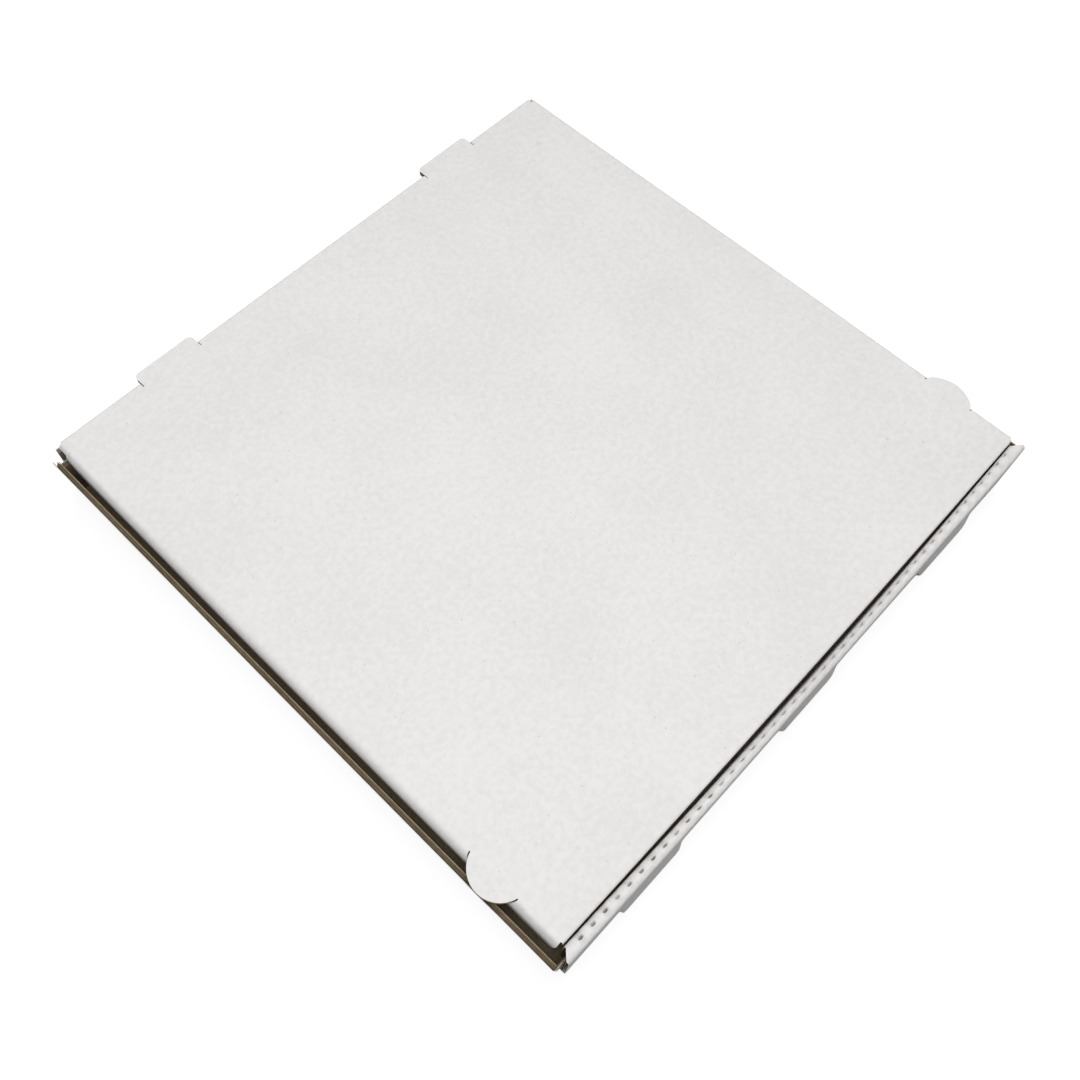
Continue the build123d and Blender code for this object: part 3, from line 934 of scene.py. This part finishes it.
def stripMesh(name, outer, inner, spans):
    vertices, faces, flat = [], [], []
    count = len(outer)
    for low, high in spans:
        columns = np.linspace(low, high, max(2, int((high - low) / hingeStrip["step"]) + 1))
        first = len(vertices)
        for x in columns:
            for y, z in outer + inner[::-1]:
                vertices.append((x * toMetres, y * toMetres, z * toMetres))
                flat.append((x * toMetres, (y + z) * toMetres))
        ring = 2 * count
        for i in range(len(columns) - 1):
            for k in range(ring):
                a = first + i * ring + k
                b = first + i * ring + (k + 1) % ring
                faces.append([a, b, b + ring, a + ring])
        lastRing = first + (len(columns) - 1) * ring
        for k in range(count - 1):
            faces.append([first + k, first + ring - 1 - k, first + ring - 2 - k, first + k + 1])
            faces.append([lastRing + k, lastRing + k + 1, lastRing + ring - 2 - k, lastRing + ring - 1 - k])
    mesh = bpy.data.meshes.new(name)
    mesh.from_pydata(vertices, [], faces)
    mapBlank(mesh, flat)
    cleanMesh(mesh)
    return mesh


def hingeStrips():
    size = lidBlank
    y, z, half = size["hingeY"], size["hingeZ"], thick / 2
    low, start = trayBlank["rearTop"], size["hingeStart"]
    notchNear = trayBlank["notchMiddle"] - trayBlank["notchHalf"]
    notchFar = trayBlank["notchMiddle"] + trayBlank["notchHalf"]
    fold = size["foldHalf"]
    spans = [(-fold, -notchFar), (-notchNear, notchNear), (notchFar, fold)]
    climb = np.linspace(low, z, hingeStrip["climbSteps"] + 1)[:-1]

    def overTheFold(radius):
        turned = [
            (y + radius * cos(radians(turn)), z + radius * sin(radians(turn))) for turn in hingeStrip["turns"]]
        return [(y + radius, height) for height in climb] + turned + [(start, z + radius)]

    outer, inner = overTheFold(half), overTheFold(half - liner)
    white = finishPiece(
        "hinge_white_liner", stripMesh("hingeWhite", outer, inner, spans), whitePaper)
    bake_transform(white)
    face, under = y - half, size["top"] - thick
    outer = [(start, under), (face, under), (face, low)]
    inner = [(start, under + liner), (face + liner, under + liner), (face + liner, low)]
    kraft = finishPiece(
        "hinge_kraft_liner", stripMesh("hingeKraft", outer, inner, spans), kraftPaper)
    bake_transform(kraft)


hingeStrips()
print("hinge strips ready")


# ---------- floor, light and camera ----------
studio = {
    "floorSize": 8.0, "floorHeight": -0.0003,      # metres
    "floorShade": "#828282",       # the paper sweep, as light falls on it
    "floorGlow": 0.85,             # added for the camera, so that the sweep shows white
    "sky": 0.34,
    "lamps": [
        # place and size in metres, watts, colour
        ((1.00, 0.40, 2.80), 1.2, 27.0, "#FFFBF4"),
        ((-0.20, -0.12, 0.90), 0.5, 3.6, "#FFFFFF"),
    ],
    "lampsAimAt": (0, 0, 0.02),
}


def seenDirectly(tree):
    # 1 for the camera and for what is mirrored or seen through something, 0 for light that falls on things
    rays = addNode(tree, "ShaderNodeLightPath")
    seen = addNode(tree, "ShaderNodeMath", [
        rays.outputs["Is Camera Ray"], rays.outputs["Is Glossy Ray"]], operation="MAXIMUM")
    return addNode(tree, "ShaderNodeMath", [seen, rays.outputs["Is Transmission Ray"]], operation="MAXIMUM")


def makeStudio(style):
    material, tree = newMaterial("paperSweep")
    glow = addNode(tree, "ShaderNodeMath", [seenDirectly(tree), style["floorGlow"]], operation="MULTIPLY")
    dull = addNode(tree, "ShaderNodeBsdfDiffuse", [paint(style["floorShade"])])
    bright = addNode(tree, "ShaderNodeEmission", {"Strength": glow})
    both = addNode(tree, "ShaderNodeAddShader", [dull, bright])
    addNode(tree, "ShaderNodeOutputMaterial", [both])
    bpy.ops.mesh.primitive_plane_add(size=style["floorSize"], location=(0, 0, style["floorHeight"]))
    floor = bpy.context.active_object
    floor.name = "paper_sweep"
    floor.data.materials.append(material)
    world = bpy.data.worlds.new("studio")
    world.use_nodes = True
    bpy.context.scene.world = world
    tree = world.node_tree
    tree.nodes.clear()
    strength = addNode(tree, "ShaderNodeMapRange", {
        "Value": seenDirectly(tree), "To Min": style["sky"], "To Max": 1.0})
    sky = addNode(tree, "ShaderNodeBackground", {"Color": (1, 1, 1, 1), "Strength": strength})
    addNode(tree, "ShaderNodeOutputWorld", [sky])
    for i, (place, size, watts, colour) in enumerate(style["lamps"]):
        lamp = bpy.data.lights.new(f"softbox{i + 1}", "AREA")
        lamp.size = size
        lamp.energy = watts
        lamp.color = paint(colour)[:3]
        holder = bpy.data.objects.new(f"softbox{i + 1}", lamp)
        holder.location = place
        aim = Vector(style["lampsAimAt"]) - Vector(place)
        holder.rotation_euler = aim.to_track_quat("-Z", "Y").to_euler()
        bpy.context.scene.collection.objects.link(holder)


makeStudio(studio)

# The camera as fitted to the corners of the lid in the photo
photoView = {
    "sensor": 36.0, "lens": 37.22,     # mm
    "clipStart": 0.02,
    "place": (-0.19736, -0.164911, 0.460166),
    "right": (0.68814, -0.72493, 0.03065), "up": (0.64093, 0.62711, 0.44266),
    "back": (-0.34012, -0.28497, 0.89617),
}


def makeCamera(style):
    camera = bpy.data.cameras.new("camera")
    camera.sensor_width = style["sensor"]
    camera.lens = style["lens"]
    camera.clip_start = style["clipStart"]
    holder = bpy.data.objects.new("camera", camera)
    turned = Matrix([style[key] for key in ("right", "up", "back")]).transposed().to_4x4()
    holder.matrix_world = Matrix.Translation(style["place"]) @ turned
    bpy.context.scene.collection.objects.link(holder)
    bpy.context.scene.camera = holder


makeCamera(photoView)
bpy.context.scene.view_settings.view_transform = "Standard"
print("studio ready")
